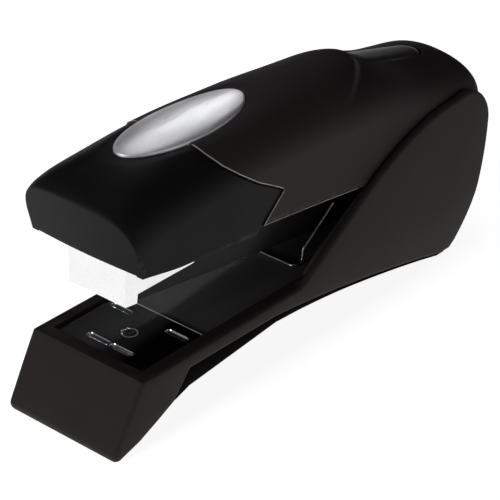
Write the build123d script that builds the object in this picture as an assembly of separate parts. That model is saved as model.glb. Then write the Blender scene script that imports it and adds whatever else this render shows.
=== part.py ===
"""A half-strip desk stapler as an assembly of separate pieces, in millimetres.

+X points to the nose, +Y to the left side, +Z up.  The origin is under the middle of the
stapler, on the surface it stands on.  The model is drawn at rest: the magazine stands open
over the anvil by REST_TILT, and the handle stands PRESS_TILT above its lowest position.

Pieces of the magazine and of the inner handle are drawn along their own axis, with the
hinge pin at (0, 0), and are then tilted up by REST_TILT about the pin (see `tilted`).
"""
import math
import os

from build123d import *

# ---------------------------------------------------------------- driving dimensions
LENGTH = 136.0            # whole stapler, front foot to rear cheeks
HALF_WIDTH = 17.6         # half the width of the base
DECK_Z = 17.3             # top of the anvil plate above the table
RIM_RISE = 0.8            # rim of the base above the anvil plate
CHEEK_WALL = 1.7          # plastic cheek beside the handle
CHEEK_RISE = 28.1         # top of the cheeks above the anvil plate
SIDE_TUCK = 1.5           # how far the sides draw in from deck to table
SHELL_LIFT = 0.5          # gap between the shell's lower edge and the table
BASE_WALL = 1.8           # plastic wall of the base

ANVIL_SETBACK = 22.0      # ring of the anvil plate, behind the foot of the front face
ANVIL_LENGTH = 21.0
ANVIL_HALF_WIDTH = 13.85
ANVIL_THICK = 1.5
STEM_R = 2.0              # stem that the anvil turns on
CRIMP_OFFSET = 6.4        # crimp pockets from the anvil's centre
STEEL = 1.2               # floor and frame sheet
GAP = 0.15                # fixed pieces laid beside each other
RUN = 0.3                 # moving pieces beside each other
PIN_FIT = 0.05            # radial clearance of a turning fit
SCREW_R = 1.4
SCREW_HEAD_R = 2.5
SCREW_HEAD = 1.5
RIVET_R = 1.0
RIVET_HEAD = 0.4

PIN_SETBACK = 16.0        # hinge pin from the rear end
PIN_RISE = 13.0           # hinge pin above the anvil plate
PIN_R = 2.5
REST_TILT = 7.9           # magazine above its closed position, degrees
PRESS_TILT = 4.5          # travel of the handle on to the magazine, degrees
LIFT_WIRE = 0.8           # wire that holds the magazine up
FLOOR_MARGIN = 0.45       # steel floor outside the ears that rise from it

STAPLE_WIDTH = 12.7       # standard 26/6 staple, outside the legs
STAPLE_LEG = 6.0
STAPLE_WIRE = 0.5
STRIP_LENGTH = 26.5       # fifty staples glued side by side
MAG_FLOOR_RISE = 0.3      # magazine above the anvil plate when closed
MAG_WALL = 0.9
MAG_HEIGHT = 9.5
CAP_WALL = 0.8
CAP_REACH = 2.8           # front of the cap ahead of the staple slot
BLADE_THICK = 0.6
STROKE_ROOM = 0.85        # slot room on each side of the blade, which swings as it falls

COVER_WALL = 1.8
COVER_OVERHANG = 8.0      # lower front edge of the nose cover behind the foot of the base
COVER_RISE = 27.8         # the same edge above the anvil plate
BADGE_LENGTH = 39.6
BADGE_WIDTH = 15.5
BUTTON_LENGTH = 25.0
BUTTON_WIDTH = 8.0
BUTTON_SETBACK = 22.5     # middle of the button from the rear end
BADGE_THICK = 1.0
BOSS_R = 3.2

# ---------------------------------------------------------------- places worked out
FRONT_X = LENGTH / 2
REAR_X = -LENGTH / 2
ANVIL_X = FRONT_X - ANVIL_SETBACK
ANVIL_REAR_X = ANVIL_X - ANVIL_LENGTH / 2
ANVIL_FRONT_X = ANVIL_X + ANVIL_LENGTH / 2
RIM_Z = DECK_Z + RIM_RISE
PIN_X = REAR_X + PIN_SETBACK
PIN_Z = DECK_Z + PIN_RISE
CHEEK_INNER = HALF_WIDTH - CHEEK_WALL
HANDLE_HALF = CHEEK_INNER - RUN
SKIRT_INNER = HANDLE_HALF - COVER_WALL - 0.1
EAR_OUTER = SKIRT_INNER - RUN
EAR_INNER = EAR_OUTER - STEEL
FRAME_OUTER = EAR_INNER - 1.2
FRAME_INNER = FRAME_OUTER - 1.1
COVER_HALF = HALF_WIDTH - 0.6
FLOOR_HALF = EAR_OUTER + FLOOR_MARGIN
ANVIL_ROOM = ANVIL_HALF_WIDTH + GAP
FLOOR_TOP = DECK_Z - 0.5
FLOOR_REAR_X = PIN_X + 18
DECK_UNDER = DECK_Z - 3.3
DECK_TOP = DECK_Z - ANVIL_THICK - GAP
ANVIL_BUTTON_Z = DECK_Z - 8.6
ANVIL_BUTTON_THICK = 1.4
NOSE_X = FRONT_X - COVER_OVERHANG
COVER_Z = DECK_Z + COVER_RISE

# the magazine's own axis: x from the pin, z from the pin
SLOT_X = ANVIL_X + CRIMP_OFFSET - PIN_X
MAG_BOTTOM = MAG_FLOOR_RISE - PIN_RISE
MAG_TOP = MAG_BOTTOM + MAG_HEIGHT
MAG_HALF = STAPLE_WIDTH / 2 + 0.75 + MAG_WALL
CAP_INNER = MAG_HALF + 0.1
CAP_OUTER = CAP_INNER + CAP_WALL
CAP_FRONT = SLOT_X + CAP_REACH
FLOOR_LEVEL = MAG_BOTTOM + MAG_WALL + 0.1
CROWN_TOP = FLOOR_LEVEL + STAPLE_LEG
RAIL_TOP = CROWN_TOP - STAPLE_WIRE - GAP
RAIL_HALF = STAPLE_WIDTH / 2 - STAPLE_WIRE - 0.35
RAIL_REAR = 14.0
RIVET_X = RAIL_REAR - 2.5
RIVET_Z = MAG_BOTTOM + 4.0
STRIP_FRONT = SLOT_X - STROKE_ROOM
STRIP_REAR = STRIP_FRONT - STRIP_LENGTH
PUSHER_LENGTH = 9.0
ROD_Z = FLOOR_LEVEL + 2.4
ROD_R = 0.8
WEB_UNDER = 8.5           # inner frame's web above the pin


# ---------------------------------------------------------------- helpers
def side_solid(outline, half_width, y=0.0):
    """Extrude a side outline, given in X and Z, by half_width on both sides of y."""
    face = Plane.XZ * make_face(outline)
    return Pos(0, y, 0) * extrude(face, amount=half_width, both=True)


def side_block(points, half_width, y=0.0):
    """The same for an outline of straight lines."""
    return side_solid(Polyline(*points, close=True), half_width, y)


def pair(make_one):
    """Two copies of a piece, on the left side and on the right side."""
    return make_one(1) + make_one(-1)


def box_between(x0, x1, y0, y1, z0, z1):
    """A box given by its lowest and highest corners."""
    size = (x1 - x0, y1 - y0, z1 - z0)
    centre = ((x0 + x1) / 2, (y0 + y1) / 2, (z0 + z1) / 2)
    return Pos(*centre) * Box(*size)


def group(pieces):
    """Several separate pieces as one node."""
    joined = pieces[0]
    for piece in pieces[1:]:
        joined += piece
    return joined


def cross_rod(x, z, radius, half_length, y=0.0):
    """A round bar across the stapler."""
    return Pos(x, y, z) * Rot(90, 0, 0) * Cylinder(radius, 2 * half_length)


def upright_rod(x, y, radius, z0, z1):
    """A round bar standing up."""
    return Pos(x, y, (z0 + z1) / 2) * Cylinder(radius, z1 - z0)


def long_rod(x0, x1, z, radius, y=0.0):
    """A round bar along the magazine's axis."""
    return Pos((x0 + x1) / 2, y, z) * Rot(0, 90, 0) * Cylinder(radius, x1 - x0)


def tilted(shape):
    """Set a piece that is drawn along the magazine's axis in its place at rest."""
    return Pos(PIN_X, 0, PIN_Z) * Rot(0, -REST_TILT, 0) * shape


# ---------------------------------------------------------------- base
def base_outline():
    """Side outline of the base: raked front foot, rim, high rear cheeks and arched sill."""
    rim_front = (FRONT_X - 9.8, RIM_Z)
    cheek_start = (PIN_X + 57.5, RIM_Z)
    cheek_mid = (PIN_X + 28.7, PIN_Z + 5.9)
    cheek_top = (PIN_X - 2.0, DECK_Z + CHEEK_RISE)
    rear_round = (REAR_X + 3.4, DECK_Z + CHEEK_RISE - 2.8)
    rear_high = (REAR_X, PIN_Z + 5.5)
    rear_mid = (REAR_X + 1.7, PIN_Z - 10.3)
    rear_low = (REAR_X + 8.0, SHELL_LIFT + 2.0)
    heel_rear = (REAR_X + 10.5, SHELL_LIFT)
    heel_front = (REAR_X + 14.5, SHELL_LIFT)
    arch_mid = (REAR_X + 52.0, DECK_Z - 7.9)
    arch_end = (PIN_X + 66.0, DECK_Z - 3.6)
    sill_front = (ANVIL_X - 0.2, DECK_Z - 2.7)
    foot_rear = (ANVIL_X + 1.2, DECK_Z - 8.3)
    toe_rear = (FRONT_X - 10.5, SHELL_LIFT)
    toe = (FRONT_X - 1.2, SHELL_LIFT)
    toe_front = (FRONT_X, SHELL_LIFT + 1.5)
    return [
        Polyline(toe, toe_front, rim_front, cheek_start),
        Spline(cheek_start, cheek_mid, cheek_top, tangents=[(-1, 0.6), (-1, 0)]),
        ThreePointArc(cheek_top, rear_round, rear_high),
        ThreePointArc(rear_high, rear_mid, rear_low),
        Polyline(rear_low, heel_rear, heel_front),
        ThreePointArc(heel_front, arch_mid, arch_end),
        Polyline(arch_end, sill_front, foot_rear, toe_rear, toe),
    ]


def tucked_prism(inset):
    """The base's cross-section as a long bar: upright sides that draw in below the deck."""
    top = DECK_Z + CHEEK_RISE + 10
    wide = HALF_WIDTH - inset
    narrow = wide - SIDE_TUCK
    outline = Polyline(
        (-narrow, -1),
        (narrow, -1),
        (wide, DECK_Z),
        (wide, top),
        (-wide, top),
        (-wide, DECK_Z),
        close=True,
    )
    start = Plane(origin=(REAR_X - 10, 0, 0), x_dir=(0, 1, 0), z_dir=(1, 0, 0))
    return extrude(start * make_face(outline), amount=LENGTH + 20)


def build_base_shell():
    """Plastic shell: rim, deck under the steel floor, front foot and the two cheeks."""
    body = side_solid(base_outline(), HALF_WIDTH + 1) & tucked_prism(0)
    inside = tucked_prism(BASE_WALL)
    foot_hollow = side_block(
        [
            (FRONT_X - 2.2 * BASE_WALL, -1),
            (FRONT_X - 10.2 - BASE_WALL, DECK_UNDER),
            (FLOOR_REAR_X, DECK_UNDER),
            (REAR_X + 6.5, DECK_UNDER),
            (REAR_X + 7.5, 8.0),
            (REAR_X + 11.0, -1),
        ],
        HALF_WIDTH,
    )
    body -= foot_hollow & inside
    anvil_seat = box_between(
        ANVIL_REAR_X - GAP, ANVIL_FRONT_X + GAP, -ANVIL_ROOM, ANVIL_ROOM, DECK_TOP, RIM_Z + 1
    )
    floor_half = FLOOR_HALF + GAP
    floor_seat = box_between(
        FLOOR_REAR_X, ANVIL_REAR_X, -floor_half, floor_half, FLOOR_TOP - STEEL - GAP, RIM_Z + 1
    )
    body -= anvil_seat
    body -= floor_seat
    cheek_room = box_between(REAR_X - 1, PIN_X + 57.5, -CHEEK_INNER, CHEEK_INNER, RIM_Z, DECK_Z + 60)
    rear_room = box_between(REAR_X - 1, FLOOR_REAR_X, -CHEEK_INNER, CHEEK_INNER, DECK_Z - 2.5, RIM_Z + 1)
    well = box_between(REAR_X + 7.0, FLOOR_REAR_X, -CHEEK_INNER, CHEEK_INNER, DECK_UNDER - 1, RIM_Z)
    body -= cheek_room
    body -= rear_room
    body -= well
    body -= upright_rod(ANVIL_X, 0, STEM_R + 0.3, DECK_UNDER - 2, DECK_TOP + 1)
    for x, y in screw_places():
        body -= upright_rod(x, y, SCREW_R + 0.1, DECK_UNDER - 2, DECK_Z)
    return body


def screw_places():
    """Four screws hold the steel floor to the shell."""
    return [(x, y) for x in (PIN_X + 27, PIN_X + 47) for y in (-8.0, 8.0)]


def build_rubber_sole():
    """Arched rubber sole that closes the shell from below and carries the stapler."""
    inset = BASE_WALL + GAP
    lower = ThreePointArc((REAR_X + 15.5, 0), (REAR_X + 52.0, DECK_Z - 9.6), (PIN_X + 66.0, DECK_Z - 5.6))
    upper = ThreePointArc((PIN_X + 66.0, DECK_Z - 4.0), (REAR_X + 52.0, DECK_Z - 8.0), (REAR_X + 15.5, 1.6))
    front_low = Polyline(
        (PIN_X + 66.0, DECK_Z - 5.6),
        (ANVIL_X - 2.0, DECK_Z - 6.6),
        (ANVIL_X + 3.5, DECK_Z - 9.3),
        (FRONT_X - 10.5, 0),
        (FRONT_X - 5.8, 0),
        (FRONT_X - 5.8, 1.6),
        (FRONT_X - 10.0, 1.6),
        (ANVIL_X + 4.2, DECK_Z - 7.7),
        (ANVIL_X - 1.6, DECK_Z - 5.0),
        (PIN_X + 66.0, DECK_Z - 4.0),
    )
    rear = Polyline(
        (REAR_X + 15.5, 1.6), (REAR_X + 12.6, 1.6), (REAR_X + 12.6, 0), (REAR_X + 15.5, 0)
    )
    sole = side_solid([lower, front_low, upper, rear], HALF_WIDTH) & tucked_prism(inset)
    return sole - upright_rod(ANVIL_X, 0, 5.4, 0, DECK_Z)


def ear_outline():
    """Side outline of a chassis ear: it climbs from the floor to the hinge pin."""
    return [
        (FLOOR_REAR_X, FLOOR_TOP - STEEL),
        (PIN_X + 51.0, FLOOR_TOP - STEEL),
        (PIN_X + 51.0, FLOOR_TOP),
        (PIN_X + 46.0, FLOOR_TOP + 4.0),
        (PIN_X + 24.0, PIN_Z + 3.5),
        (PIN_X + 4.0, PIN_Z + 5.7),
        (PIN_X - 7.0, PIN_Z),
        (PIN_X - 2.0, PIN_Z - 7.0),
    ]


def build_chassis():
    """Steel floor behind the anvil with two ears that carry the hinge pin."""
    floor = box_between(
        FLOOR_REAR_X, ANVIL_REAR_X - GAP, -FLOOR_HALF, FLOOR_HALF, FLOOR_TOP - STEEL, FLOOR_TOP
    )

    def ear(side):
        middle = side * (EAR_OUTER + EAR_INNER) / 2
        plate = side_block(ear_outline(), STEEL / 2, middle)
        plate += cross_rod(PIN_X, PIN_Z, 7.0, STEEL / 2, middle)
        return plate - cross_rod(PIN_X, PIN_Z, PIN_R, STEEL, middle)

    chassis = floor + pair(ear)
    for x, y in screw_places():
        chassis -= upright_rod(x, y, SCREW_R, 0, FLOOR_TOP + 1)
    return chassis


def build_base_screws():
    """Pan-head screws, driven up through the shell's deck into the steel floor."""
    screws = []
    for x, y in screw_places():
        shank = upright_rod(x, y, SCREW_R, DECK_UNDER, FLOOR_TOP)
        head = upright_rod(x, y, SCREW_HEAD_R, DECK_UNDER - SCREW_HEAD, DECK_UNDER)
        screws.append(shank + head)
    return group(screws)


def build_hinge_pin():
    """The one pin that the ears, the inner frame and the magazine share."""
    return cross_rod(PIN_X, PIN_Z, PIN_R, EAR_OUTER + 0.1)


def build_hinge_washers():
    """Spacers on the pin between the ears and the inner frame."""
    def washer(side):
        middle = side * (EAR_INNER + FRAME_OUTER) / 2
        half = (EAR_INNER - FRAME_OUTER) / 2 - 0.05
        ring = cross_rod(PIN_X, PIN_Z, PIN_R + 2.0, half, middle)
        return ring - cross_rod(PIN_X, PIN_Z, PIN_R + PIN_FIT, 2, middle)

    return pair(washer)


def build_lift_spring():
    """Bent wire that holds the magazine up: one length, a bridge on the floor and two arms."""
    foot_x = PIN_X + 50.2
    knee_x = PIN_X + 47.2
    wire_z = FLOOR_TOP + LIFT_WIRE / 2 + 0.05
    y = MAG_HALF + 0.9
    rise = (knee_x - 0.6, wire_z + 3.6)
    tip = (knee_x - 11.5, wire_z + 11.5)
    arm = [(foot_x, wire_z), (knee_x, wire_z), rise, tip]
    left = [(x, y, z) for x, z in reversed(arm)]
    right = [(x, -y, z) for x, z in arm]
    route = FilletPolyline(*left, *right, radius=1.2)
    section = Plane(origin=route @ 0, z_dir=route % 0) * Circle(LIFT_WIRE / 2)
    return sweep(section, path=route)


# ---------------------------------------------------------------- anvil
def build_anvil_plate():
    """Reversible plate: curved crimp pockets ahead of the ring, wide pinning pockets behind."""
    x0 = ANVIL_REAR_X
    x1 = ANVIL_FRONT_X
    plate = box_between(x0, x1, -ANVIL_HALF_WIDTH, ANVIL_HALF_WIDTH, DECK_Z - ANVIL_THICK, DECK_Z)
    depth = 0.7

    def pocket(x, y_near, y_far):
        """A groove with a round floor and round ends."""
        length = abs(y_far - y_near)
        middle = (y_far + y_near) / 2
        bar = Pos(x, middle, DECK_Z + 1.0 - depth) * Rot(90, 0, 0) * Cylinder(1.0, length)
        ends = Pos(x, y_near, DECK_Z + 1.0 - depth) * Sphere(1.0)
        ends += Pos(x, y_far, DECK_Z + 1.0 - depth) * Sphere(1.0)
        return bar + ends

    leg = STAPLE_WIDTH / 2
    for side in (-1, 1):
        plate -= pocket(ANVIL_X + CRIMP_OFFSET, side * 0.9, side * leg)
        plate -= pocket(ANVIL_X - CRIMP_OFFSET, side * leg, side * (leg + 5.0))
    return plate - upright_rod(ANVIL_X, 0, STEM_R, 0, DECK_Z + 1)


def build_anvil_stem():
    """Riveted stem whose ringed head shows in the middle of the plate."""
    stem = upright_rod(ANVIL_X, 0, STEM_R, ANVIL_BUTTON_Z, DECK_Z)
    ring = upright_rod(ANVIL_X, 0, STEM_R - 0.3, DECK_Z - 0.3, DECK_Z + 1)
    return stem - ring


def build_anvil_button():
    """Push button under the base that lifts the anvil so that it can be turned."""
    disc = upright_rod(ANVIL_X, 0, 4.8, ANVIL_BUTTON_Z, ANVIL_BUTTON_Z + ANVIL_BUTTON_THICK)
    return disc - upright_rod(ANVIL_X, 0, STEM_R, ANVIL_BUTTON_Z - 1, ANVIL_BUTTON_Z + 3)


def build_anvil_spring():
    """Envelope of the coil spring that pulls the anvil down into its seat."""
    z0 = ANVIL_BUTTON_Z + ANVIL_BUTTON_THICK + 0.05
    z1 = DECK_UNDER - 0.05
    return upright_rod(ANVIL_X, 0, 3.6, z0, z1) - upright_rod(ANVIL_X, 0, 2.6, 0, z1 + 1)


# ---------------------------------------------------------------- magazine
def build_magazine_channel():
    """Steel trough for the staples, with ears at the rear that turn on the pin."""
    front = CAP_FRONT - CAP_WALL - 0.1
    floor = box_between(8, STRIP_FRONT, -MAG_HALF, MAG_HALF, MAG_BOTTOM, MAG_BOTTOM + MAG_WALL)

    def wall(side):
        middle = side * (MAG_HALF - MAG_WALL / 2)
        ear = [(5, 3), (-5, -2), (0, -6)]
        outline = [(8, MAG_BOTTOM), (front, MAG_BOTTOM), (front, MAG_TOP), (16, MAG_TOP)] + ear
        plate = side_block(outline, MAG_WALL / 2, middle)
        plate += cross_rod(0, 0, 5.0, MAG_WALL / 2, middle)
        return plate - cross_rod(0, 0, PIN_R + PIN_FIT, MAG_WALL, middle)

    holes = cross_rod(RIVET_X, RIVET_Z, RIVET_R, MAG_HALF + 1)
    return tilted(floor + pair(wall) - holes)


def build_front_cap():
    """Bright cap over the front of the magazine, with sides that taper to the rear."""
    lean = 1.1
    low = MAG_BOTTOM - 0.2
    high = MAG_TOP + 0.6
    outline = [
        (CAP_FRONT, low),
        (CAP_FRONT + lean, high),
        (SLOT_X - 24.0, high),
        (SLOT_X - 19.0, MAG_BOTTOM + 4.6),
        (SLOT_X - 0.9, MAG_BOTTOM + 2.1),
        (SLOT_X - 0.9, low),
    ]
    hollow = [
        (CAP_FRONT - CAP_WALL, low - 1),
        (CAP_FRONT - CAP_WALL, high + 1),
        (SLOT_X - 30.0, high + 1),
        (SLOT_X - 30.0, low - 1),
    ]
    return tilted(side_block(outline, CAP_OUTER) - side_block(hollow, CAP_INNER))


def build_blade_guide():
    """Steel plate inside the cap that keeps the driver blade in its slot."""
    x0 = SLOT_X + STROKE_ROOM
    x1 = CAP_FRONT - CAP_WALL - 0.1
    half = MAG_HALF - MAG_WALL - 0.1
    return tilted(box_between(x0, x1, -half, half, MAG_BOTTOM, MAG_TOP - 0.3))


def build_staple_rail():
    """Inverted trough inside the staples' legs, slotted along its top for the pusher."""
    top = RAIL_TOP
    sheet = 0.6
    front = STRIP_FRONT - 0.2
    rail = box_between(RAIL_REAR, front, -RAIL_HALF, RAIL_HALF, FLOOR_LEVEL, top)
    inner = RAIL_HALF - sheet
    rail -= box_between(RAIL_REAR - 1, front + 1, -inner, inner, FLOOR_LEVEL - 1, top - sheet)
    rail -= box_between(RAIL_REAR + 3, STRIP_REAR + 12, -1.6, 1.6, top - 2 * sheet, top + 1)
    return tilted(rail)


def build_staple_strip():
    """Fifty glued staples standing over the rail."""
    half = STAPLE_WIDTH / 2
    strip = box_between(STRIP_REAR, STRIP_FRONT - 0.1, -half, half, FLOOR_LEVEL, CROWN_TOP)
    inner = half - STAPLE_WIRE
    under = CROWN_TOP - STAPLE_WIRE
    strip -= box_between(STRIP_REAR - 1, STRIP_FRONT + 1, -inner, inner, FLOOR_LEVEL - 1, under)
    return tilted(strip)


def build_pusher():
    """Saddle over the rail that presses the strip forward, with a neck round the guide rod."""
    x1 = STRIP_REAR - 0.05
    x0 = x1 - PUSHER_LENGTH
    half = STAPLE_WIDTH / 2
    saddle = box_between(x0, x1, -half, half, FLOOR_LEVEL + 0.2, CROWN_TOP)
    room = RAIL_HALF + 0.2
    saddle -= box_between(x0 - 1, x1 + 1, -room, room, FLOOR_LEVEL - 1, RAIL_TOP + 0.1)
    neck = box_between(x0 + 1, x1 - 1, -1.3, 1.3, ROD_Z, CROWN_TOP - 0.2)
    hub = long_rod(x0 + 1, x1 - 1, ROD_Z, 1.7)
    bore = long_rod(x0 - 1, x1 + 1, ROD_Z, ROD_R + PIN_FIT)
    return tilted(saddle + neck + hub - bore)


def build_rail_block():
    """Plastic block at the rear of the magazine that holds the rail and the guide rod."""
    half = MAG_HALF - MAG_WALL - 0.1
    block = box_between(RAIL_REAR - 5, RAIL_REAR - 0.1, -half, half, FLOOR_LEVEL, MAG_TOP - 0.5)
    return tilted(block - long_rod(RAIL_REAR - 6, RAIL_REAR + 1, ROD_Z, ROD_R))


def build_guide_rod():
    """Thin rod inside the rail that carries the pusher and its spring."""
    return tilted(long_rod(RAIL_REAR - 4, STRIP_FRONT - 1.2, ROD_Z, ROD_R))


def build_pusher_spring():
    """Envelope of the long coil spring behind the pusher."""
    x0 = RAIL_REAR
    x1 = STRIP_REAR - PUSHER_LENGTH + 0.9
    return tilted(long_rod(x0, x1, ROD_Z, 2.0) - long_rod(x0 - 1, x1 + 1, ROD_Z, ROD_R + 0.3))


def build_magazine_rivets():
    """Short rivets that hold the rear block in the trough."""
    def rivet(side):
        shank_y = side * (MAG_HALF - MAG_WALL / 2)
        head_y = side * (MAG_HALF + RIVET_HEAD / 2)
        shank = cross_rod(RIVET_X, RIVET_Z, RIVET_R, MAG_WALL / 2, shank_y)
        return shank + cross_rod(RIVET_X, RIVET_Z, RIVET_R + 0.6, RIVET_HEAD / 2, head_y)

    return tilted(pair(rivet))


# ---------------------------------------------------------------- handle
def handle_stations():
    """Places along the handle, nose first: x, crown height, half width and arch height."""
    deck = DECK_Z
    side = COVER_HALF
    rear = HANDLE_HALF
    mid = (side + rear) / 2
    return [
        (NOSE_X + 3.6, deck + 39.6, side - 0.6, 9.4),
        (NOSE_X - 1.0, deck + 44.6, side, 12.0),
        (NOSE_X - 10.0, deck + 47.3, side, 12.6),
        (NOSE_X - 30.0, deck + 48.4, side, 12.6),
        (NOSE_X - 52.0, deck + 47.6, mid, 12.6),
        (REAR_X + 44.0, deck + 45.2, rear, 12.4),
        (REAR_X + 30.0, deck + 40.6, rear, 11.6),
        (REAR_X + 14.0, deck + 36.8, rear, 10.6),
        (REAR_X + 4.0, deck + 34.0, rear, 9.6),
        (REAR_X, deck + 29.0, rear - 0.8, 8.0),
    ]


def arch_section(x, crown, half, rise):
    """Closed section across the handle: a flat foot, upright sides and a half-ellipse top."""
    foot = DECK_Z
    spring = crown - rise
    lines = Polyline((-half, spring), (-half, foot), (half, foot), (half, spring))
    arch = EllipticalCenterArc((0, spring), half, rise, start_angle=0, arc_size=180)
    plane = Plane(origin=(x, 0, 0), x_dir=(0, 1, 0), z_dir=(1, 0, 0))
    return plane * make_face([lines, arch])


def handle_body(shrink):
    """The handle's outer form as one solid, or the room inside it when shrink is a wall."""
    sections = []
    for x, crown, half, rise in handle_stations():
        sections.append(arch_section(x, crown - shrink, half - shrink, rise - 0.4 * shrink))
    return loft(sections)


def handle_profile(inset=0.0):
    """Side outline that trims the handle: raked nose, sloping lower edge and round rear."""
    low = -inset
    return [
        (NOSE_X - inset, COVER_Z + low),
        (NOSE_X + 1.5 - inset, COVER_Z + 6.0),
        (NOSE_X + 3.2 - inset, COVER_Z + 13.5),
        (NOSE_X + 3.2 - inset, DECK_Z + 60),
        (REAR_X + inset, DECK_Z + 60),
        (REAR_X + inset, PIN_Z + 2.0),
        (REAR_X + 2.0 + inset, PIN_Z - 6.0 + low),
        (PIN_X, PIN_Z - 0.4 + low),
        (NOSE_X - 1.7, COVER_Z - 1.1 + low),
    ]


def seam_line():
    """Side view of the seam between nose cover and handle cover, from the crown down."""
    return [
        (NOSE_X - 26.0, DECK_Z + 60.0),
        (NOSE_X - 27.5, DECK_Z + 45.0),
        (NOSE_X - 30.0, DECK_Z + 42.0),
        (NOSE_X - 34.5, DECK_Z + 38.3),
        (NOSE_X - 40.5, DECK_Z + 34.2),
        (NOSE_X - 49.3, DECK_Z + 29.1),
        (NOSE_X - 43.5, DECK_Z + 24.5),
        (NOSE_X - 39.5, DECK_Z + 15.0),
    ]


def nose_region(shift):
    """Block that covers everything ahead of the seam, moved forward by shift."""
    seam = [(x + shift, z) for x, z in seam_line()]
    return side_block(seam + [(FRONT_X + 20, DECK_Z + 15), (FRONT_X + 20, DECK_Z + 60)], HALF_WIDTH + 5)


def badge_ellipse(grow):
    """Upright oval column over the badge's place."""
    column = Plane(origin=(NOSE_X - 32.0, 0, DECK_Z + 30)) * Ellipse(
        BADGE_LENGTH / 2 + grow, BADGE_WIDTH / 2 + grow
    )
    return extrude(column, amount=40)


def handle_shell():
    """The whole handle as a hollow shell, open below."""
    outer = handle_body(0) & side_block(handle_profile(), HALF_WIDTH + 5)
    room = handle_body(COVER_WALL) & side_block(handle_profile(COVER_WALL), HALF_WIDTH + 5)
    return outer - room


def build_nose_cover(shell):
    """Front cover with the badge's seat in its crown."""
    seat = badge_ellipse(0.15) - handle_body(BADGE_THICK)
    return (shell & nose_region(0.05)) - seat


def button_column(grow, z0, z1):
    """Upright lozenge at the button's place."""
    plan = SlotOverall(BUTTON_LENGTH + 2 * grow, BUTTON_WIDTH + 2 * grow)
    return extrude(Plane(origin=(REAR_X + BUTTON_SETBACK, 0, z0)) * plan, amount=z1 - z0)


def build_handle_cover(shell):
    """Rear cover between the cheeks, with the opening for the release button."""
    cover = shell - nose_region(-0.05)
    cover -= badge_ellipse(0.15) - handle_body(BADGE_THICK)
    return cover - button_column(0.35, DECK_Z + 10, DECK_Z + 60)


def build_badge():
    """Blank oval metal badge, let into the crown."""
    return badge_ellipse(0) & (handle_body(0) - handle_body(BADGE_THICK - 0.05))


def build_release_button():
    """Long button in the rear of the handle that frees the handle for loading."""
    skin = handle_body(-0.3) - handle_body(COVER_WALL + 0.6)
    top = button_column(0, DECK_Z + 20, DECK_Z + 60) & skin
    flange = button_column(1.2, DECK_Z + 20, DECK_Z + 60) & (
        handle_body(COVER_WALL + 0.4) - handle_body(COVER_WALL + 1.4)
    )
    return top + flange


def build_handle_frame():
    """Steel inverted trough that turns on the pin and carries the driver blade."""
    reach = SLOT_X + 1.5
    web = box_between(6, reach, -FRAME_OUTER, FRAME_OUTER, WEB_UNDER, WEB_UNDER + STEEL)

    def plate(side):
        middle = side * (FRAME_OUTER + FRAME_INNER) / 2
        half = (FRAME_OUTER - FRAME_INNER) / 2
        top = WEB_UNDER + STEEL
        outline = [(0, -5.5), (20, 0.5), (reach, 0.5), (reach, top), (6, top), (-3, 5)]
        sheet = side_block(outline, half, middle) + cross_rod(0, 0, 6.0, half, middle)
        return sheet - cross_rod(0, 0, PIN_R + PIN_FIT, 2, middle)

    frame = web + pair(plate)
    for x in cover_screw_places():
        frame -= upright_rod(x, 0, SCREW_R, 0, 30)
    return tilted(frame)


def cover_screw_places():
    """Two screws along the frame hold the plastic covers."""
    return [30.0, SLOT_X - 11.0]


def build_cover_screws():
    """Screws from under the frame's web up into the covers' bosses."""
    screws = []
    for x in cover_screw_places():
        head = upright_rod(x, 0, SCREW_HEAD_R, WEB_UNDER - SCREW_HEAD, WEB_UNDER)
        shank = upright_rod(x, 0, SCREW_R, WEB_UNDER, WEB_UNDER + STEEL + 5)
        screws.append(head + shank)
    return tilted(group(screws))


def cover_boss(x, shrink):
    """Boss that stands from the cover's roof down on to the frame's web."""
    column = tilted(upright_rod(x, 0, BOSS_R, WEB_UNDER + STEEL, 60))
    column -= tilted(upright_rod(x, 0, SCREW_R, 0, WEB_UNDER + STEEL + 5.5))
    return column & handle_body(shrink)


def build_driver_blade():
    """Blade that pushes one staple out; it stands half the stroke ahead of upright."""
    half_thick = BLADE_THICK / 2
    half_width = STAPLE_WIDTH / 2
    half_stroke = SLOT_X * math.sin(math.radians(PRESS_TILT / 2))
    low = MAG_BOTTOM + half_stroke + 0.1
    high = WEB_UNDER - half_stroke - 0.1
    blade = box_between(SLOT_X - half_thick, SLOT_X + half_thick, -half_width, half_width, low, high)
    foot = box_between(SLOT_X - 5, SLOT_X, -half_width, half_width, high - BLADE_THICK, high)
    return tilted(Rot(0, -PRESS_TILT / 2, 0) * (blade + foot))


def build_return_spring():
    """Leaf spring between the frame and the magazine that lifts the handle."""
    strip = 0.5
    high = WEB_UNDER - 1.8
    low = MAG_TOP + 0.7
    under = [(34, high), (56, high), (84, low), (88, low)]
    over = [(88, low + strip), (84.2, low + strip), (56.2, high + strip), (34, high + strip)]
    return tilted(side_block(under + over, 3.0))


def build_button_spring():
    """Envelope of the small coil spring under the release button."""
    top = DECK_Z + 34.0
    low = PIN_Z + WEB_UNDER + STEEL + 1.5
    x = REAR_X + BUTTON_SETBACK
    return upright_rod(x, 0, 2.2, low, top) - upright_rod(x, 0, 1.4, low - 1, top + 1)


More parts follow.
